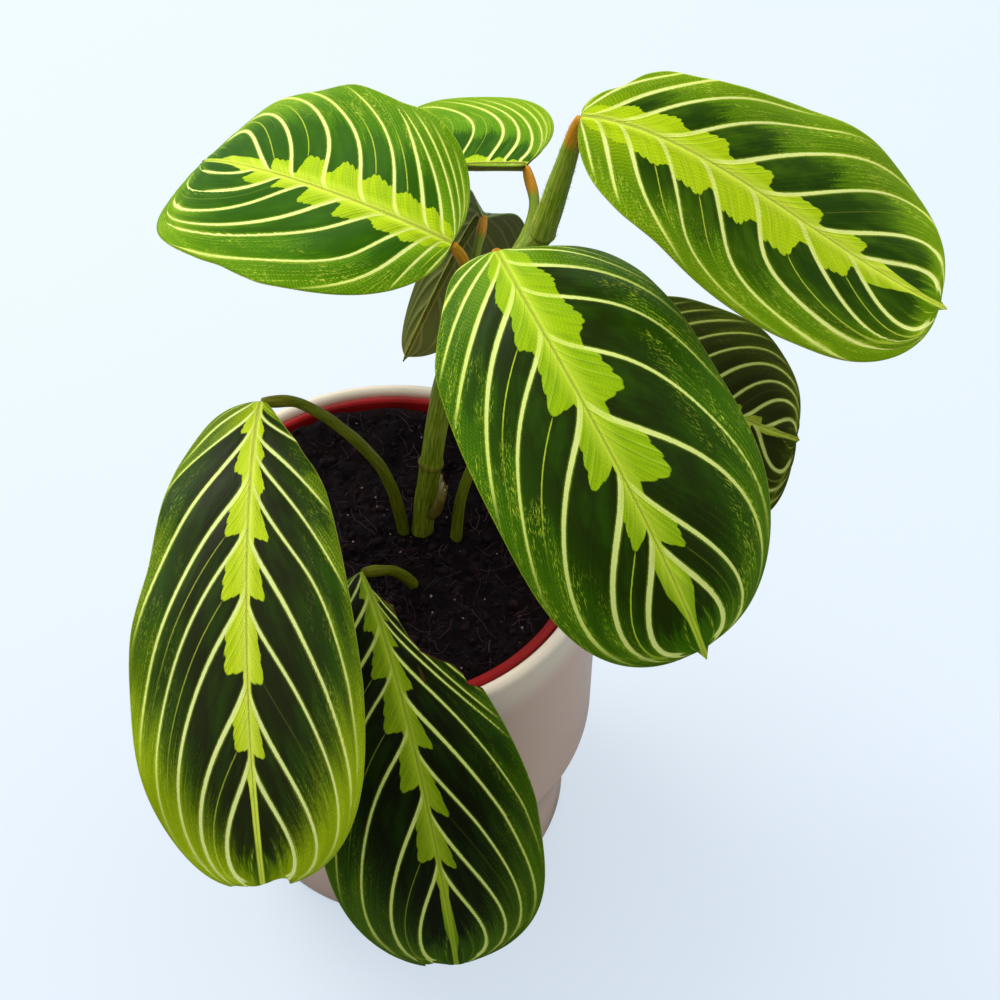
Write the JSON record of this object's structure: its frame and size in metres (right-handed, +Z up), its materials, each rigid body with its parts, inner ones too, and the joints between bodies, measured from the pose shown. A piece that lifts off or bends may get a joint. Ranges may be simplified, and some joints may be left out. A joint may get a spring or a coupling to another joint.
{
  "type": "potted prayer plant",
  "caption": "Prayer plant with broad herringbone-patterned leaves on a leaning shoot, rooted in a nursery pot inside a glazed cachepot with a stepped foot.",
  "frame": {"origin": "middle of the cachepot's flat underside", "axes": "+Z up; -Y towards the side that the plant shows best, +X to its right"},
  "size_m": [0.196, 0.1994, 0.2685],
  "materials": {
    "glaze": "glossy cream glaze",
    "red_plastic": "satin moulded plastic",
    "soil": "damp, crumbly",
    "stem": "finely haired, satin",
    "dry_sheath": "matt, papery",
    "leaf": "waxy satin with a lime herringbone pattern"
  },
  "bodies": {
    "root": {"cachepot": "glaze", "nursery_pot": "red_plastic", "soil": "soil", "main_shoot": "stem", "old_sheath": "dry_sheath", "petiole_top_right": "stem", "petiole_top_left": "stem", "petiole_back": "stem", "petiole_centre": "stem", "petiole_right": "stem", "petiole_hanging": "stem", "petiole_front_left": "stem", "petiole_front": "stem", "blade_top_right": "leaf", "blade_top_left": "leaf", "blade_back": "leaf", "blade_centre": "leaf", "blade_right": "leaf", "blade_hanging": "leaf", "blade_front_left": "leaf", "blade_front": "leaf"}
  },
  "joints": []
}
